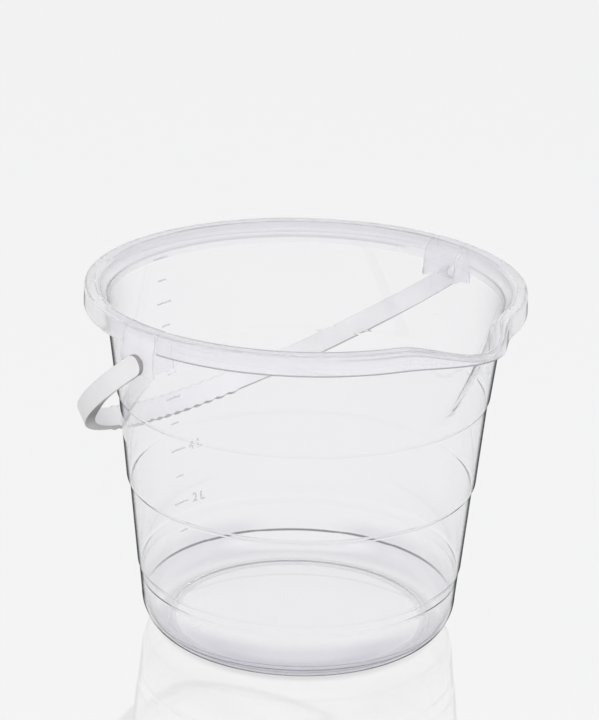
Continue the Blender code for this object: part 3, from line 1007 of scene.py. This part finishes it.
def clear_tint(finish, place):
    """The colour of what passes the plastic. Its faint tint is the plastic's own; the deeper tone
    at turned edges and in the corner is painted shade.
    """
    wall = ramp(finish, place.facing, WALL_TINTS_AND_EDGE_SHADE)
    wall = blend(finish, place.spout_wall * SPOUT_TINT_SHARE, wall, SPOUT_TINT)
    corner = ramp(finish, place.facing, CORNER_TINTS_AND_SHADE)
    tint = blend(finish, place.corner, wall, corner)
    return blend(finish, place.rim * RIM_TINT_SHARE, tint, RIM_TINT)


def milkiness(place, edges):
    """How milky the clear plastic is, from 0 to 1. The rim and the plates are milkier in earnest;
    the rest is painted light: the highlights on the rim's edges, the turned wall where the handle
    lies behind it, the spout's turned wall and the foot's ring.
    """
    # Painted light: pale where the handle lies behind the turned wall and where the spout's wall
    # turns edge-on
    seen_handle = place.handle_behind * rise(place.facing, *SEEN_HANDLE_FACING)
    spout_wall = place.spout_wall * (1.0 - place.rim) * rise(place.facing, *SPOUT_FACING)
    return largest(seen_handle * SEEN_HANDLE_PAINTED_LIGHT, place.rim * RIM_MILKINESS,
                   place.plates * PLATES_MILKINESS, edges * EDGE_HIGHLIGHT_SHARE,
                   place.foot_edge * FOOT_PAINTED_LIGHT, spout_wall * SPOUT_PAINTED_LIGHT)


def clear_plastic():
    """Polished clear plastic, with dark turned edges and thin dark lines painted on as shade and
    pale edges painted on as highlights. The rim and the brackets are milkier.
    """
    finish = Finish(bpy.data.materials.new("clear_plastic"))
    place = Place(finish)
    # Pale milky plastic laid onto the rim's top edges as painted highlights
    edges = painted_edge_highlights(place)
    smudges = noise(finish, SMUDGE_SCALE, detail=4.0)
    waves = noise(finish, WAVE_SCALE, detail=2.0, squeeze=WAVE_SQUEEZE)
    normal = bump(finish, waves, WAVE_STRENGTH, WAVE_DEPTH)
    plastic = finish.add("ShaderNodeBsdfPrincipled", inputs={
        "Base Color": clear_tint(finish, place), "Transmission Weight": 1.0, "IOR": REFRACTION,
        "Roughness": smudges * SMUDGE_ROUGHNESS + place.rim * RIM_ROUGHNESS, "Normal": normal})
    # The rim's grey is partly its own milky tone and partly painted shade. The brackets' inner
    # faces and side plates get painted shade, and the rim's top edges are kept pale as painted
    # highlights.
    rim_tone_and_shade = (place.rim * (1.0 - place.plates) * (1.0 - edges)).larger(
        place.plates * place.inner_side.larger(place.sideways * PLATE_SIDE_SHADE))
    cloud = ramp(finish, rim_tone_and_shade, RIM_SHADES)
    cloudy = cloudy_plastic(finish, cloud, RIM_CLOUD_ROUGHNESS, normal, RIM_GLOW)
    hazy = mix(finish, milkiness(place, edges) + smudges * SMUDGE_MILKINESS, plastic, cloudy)
    # Painted shade: a near-black matt surface mixed in at the turned edges and along the dark
    # lines
    lines = largest(wall_shade_lines(place), rim_shade_lines(place)) * (1.0 - place.plates)
    solid = mix(finish, painted_dark_edges(place).larger(lines), hazy, matt(finish, PAINTED_SHADE_COLOUR))
    shadow = finish.add("ShaderNodeLightPath", output="Is Shadow Ray")
    bounced = finish.add("ShaderNodeLightPath", output="Is Diffuse Ray")
    finish.show(mix(finish, shadow.larger(bounced), solid, see_through(finish, PASSED_LIGHT)))
    return finish.owner


def milky_plastic():
    """Satin milky plastic with a fine grain. The strap's narrow sides, its tips and the near bend
    are painted darker as shade.
    """
    finish = Finish(bpy.data.materials.new("milky_plastic"))
    across, along, height = coordinates(finish, "Object")
    turn_x, turn_y, turn_z = coordinates(finish, "Normal")
    level = math.cos(HANGING_ANGLE)
    plumb = math.sin(HANGING_ANGLE)
    sideways = turn_y * plumb + turn_z * level
    reach = along * level - (height - HINGE_HEIGHT) * plumb
    outward = across * turn_x + reach * (turn_y * level - turn_z * plumb)
    inner_face = fall(outward, *STRAP_OUTWARD)
    ends = rise(abs(across), *STRAP_ENDS)
    narrow = rise(abs(sideways), *NARROW_TURN)
    tip = fall(reach, *TIP_REACH) * fall(abs(turn_x), *TIP_TURN)
    pin = fall(reach, *PIN_REACH) * fall(abs(across), *PIN_SIDE)
    bend = inside(reach, *BEND_REACH) * fall(across, *BEND_SIDE)
    clouds = noise(finish, CLOUD_SCALE, detail=3.0)
    grain = noise(finish, GRAIN_SCALE, detail=2.0)
    normal = bump(finish, grain + clouds * CLOUD_RELIEF, GRAIN_STRENGTH, GRAIN_DEPTH)
    # Random cloudy tones of the plastic, with painted shade on the inner face towards the ends and
    # painted light on the inner face in the grip and on the outer face away from the hinges
    shade = (clouds * CLOUD_SHADE + inner_face * (ends * END_SHADE - GRIP_LIGHT)
             - rise(reach, *FAR_REACH) * (1.0 - inner_face) * FAR_LIGHT)
    colour = ramp(finish, shade, STRAP_SHADES)
    body = cloudy_plastic(finish, colour, STRAP_ROUGHNESS, normal, STRAP_GLOW)
    # Painted shade on the strap's narrow sides, darkest at the near bend and at the tips
    side = narrow * (bend * BEND_DARKNESS + (1.0 - ends) * GRIP_DARKNESS + SIDE_DARKNESS)
    dark = side.larger(tip * TIP_DARKNESS) * (1.0 - pin)
    finish.show(mix(finish, dark, body, matt(finish, STRAP_SHADE_COLOUR)))
    return finish.owner


def raised_marks():
    """The litre scale: clear plastic with a frosted face."""
    finish = Finish(bpy.data.materials.new("raised_marks"))
    speckle = noise(finish, SPECKLE_SCALE, detail=3.0)
    colour = ramp(finish, speckle, MARK_SHADES)
    normal = bump(finish, speckle, SPECKLE_STRENGTH, SPECKLE_DEPTH)
    frosted = cloudy_plastic(finish, colour, MARK_ROUGHNESS, normal, MARK_GLOW)
    finish.show(mix(finish, MARK_CLEARNESS, frosted, see_through(finish, MARK_LIGHT)))
    return finish.owner


def seen_ray(finish):
    """1 for what the camera sees straight, mirrored or through clear plastic, and 0 for light."""
    return largest(finish.add("ShaderNodeLightPath", output="Is Camera Ray"),
                   finish.add("ShaderNodeLightPath", output="Is Glossy Ray"),
                   finish.add("ShaderNodeLightPath", output="Is Transmission Ray"))


def pale_floor():
    """A polished pale sheet: even background colour, a faint shadow, a painted contact shadow ring
    and a faint mirror image.
    """
    finish = Finish(bpy.data.materials.new("pale_floor"))
    across, along, height = coordinates(finish, "Object")
    radius = (across * across + along * along) ** 0.5
    contact_shadow = rise(radius, *CONTACT_START) * fall(radius, *CONTACT_END)
    plain = finish.add("ShaderNodeEmission", inputs={"Color": (*BACKGROUND, 1.0)})
    polish = finish.add("ShaderNodeBsdfGlossy", inputs={
        "Color": (1.0, 1.0, 1.0, 1.0), "Roughness": SHEET_ROUGHNESS})
    pale = mix(finish, SHEET_EVENNESS, matt(finish, SHEET_COLOUR), plain)
    sheet = mix(finish, SHEET_POLISH, pale, polish)
    sheet = mix(finish, contact_shadow * CONTACT_SHADOW_DARKNESS, sheet, matt(finish, CONTACT_SHADOW_COLOUR))
    finish.show(mix(finish, seen_ray(finish), matt(finish, SHEET_BOUNCE), sheet))
    return finish.owner


def make_floor():
    bm = bmesh.new()
    bmesh.ops.create_circle(bm, cap_ends=True, segments=FLOOR_STEPS, radius=SHEET_RADIUS)
    new_object("floor", bm, pale_floor())


def make_studio():
    """Even light from all sides. Mirror images show the studio's darker ceiling."""
    world = bpy.data.worlds.new("studio")
    bpy.context.scene.world = world
    finish = Finish(world)
    camera = finish.add("ShaderNodeLightPath", output="Is Camera Ray")
    direction = finish.add("ShaderNodeTexCoord", output="Generated")
    height = finish.add("ShaderNodeSeparateXYZ", inputs={0: direction}, output="Z")
    seen = blend(finish, camera, ramp(finish, height, STUDIO_WALLS), (*BACKGROUND, 1.0))
    picture = finish.add("ShaderNodeBackground", inputs={"Color": seen})
    light = finish.add("ShaderNodeBackground", inputs={
        "Color": (1.0, 1.0, 1.0, 1.0), "Strength": STUDIO_LIGHT})
    finish.show(mix(finish, seen_ray(finish), light, picture), "ShaderNodeOutputWorld")


def make_lamp():
    lamp = bpy.data.lights.new("soft_lamp", "AREA")
    lamp.shape = "DISK"
    lamp.size = LAMP_SIZE
    lamp.energy = LAMP_POWER
    thing = bpy.data.objects.new("soft_lamp", lamp)
    bpy.context.scene.collection.objects.link(thing)
    thing.location = LAMP_PLACE
    thing.rotation_mode = "QUATERNION"
    thing.rotation_quaternion = (LAMP_AIM - LAMP_PLACE).to_track_quat("-Z", "Y")
    thing.visible_glossy = False
    thing.visible_transmission = False


def make_camera():
    lens = bpy.data.cameras.new("camera")
    lens.lens = CAMERA_LENS
    lens.sensor_width = CAMERA_SENSOR
    lens.clip_end = CAMERA_RANGE
    camera = bpy.data.objects.new("camera", lens)
    bpy.context.scene.collection.objects.link(camera)
    across = Vector((math.cos(CAMERA_AZIMUTH), math.sin(CAMERA_AZIMUTH), 0))
    level = Vector((math.sin(CAMERA_AZIMUTH), -math.cos(CAMERA_AZIMUTH), 0))
    place = level * math.cos(CAMERA_ELEVATION) * CAMERA_DISTANCE
    place.z = CAMERA_CENTRE_HEIGHT + math.sin(CAMERA_ELEVATION) * CAMERA_DISTANCE
    aim = Vector((0, 0, CAMERA_AIM_HEIGHT)) - across * CAMERA_AIM_LEFT
    camera.location = place
    camera.rotation_mode = "QUATERNION"
    camera.rotation_quaternion = ((aim - place).to_track_quat("-Z", "Y")
                                  @ Quaternion((0, 0, 1), CAMERA_ROLL))
    bpy.context.scene.camera = camera


def corners(box):
    return [list(corner) for corner in box]


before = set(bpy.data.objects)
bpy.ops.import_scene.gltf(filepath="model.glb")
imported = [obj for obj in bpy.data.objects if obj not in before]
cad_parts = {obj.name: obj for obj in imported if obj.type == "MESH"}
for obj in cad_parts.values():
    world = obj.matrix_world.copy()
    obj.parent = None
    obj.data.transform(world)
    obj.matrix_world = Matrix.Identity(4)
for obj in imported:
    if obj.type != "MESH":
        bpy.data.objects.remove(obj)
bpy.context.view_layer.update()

bpy.context.scene.view_settings.view_transform = "Standard"
make_camera()
make_floor()
make_studio()
make_lamp()

bucket = make_bucket(clear_plastic())
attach(bucket, "bucket")
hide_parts("bucket_body")

scale = make_litre_scale(raised_marks())
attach(scale, "bucket")

handle = make_handle(milky_plastic())
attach(handle, "handle")
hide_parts("carry_handle")
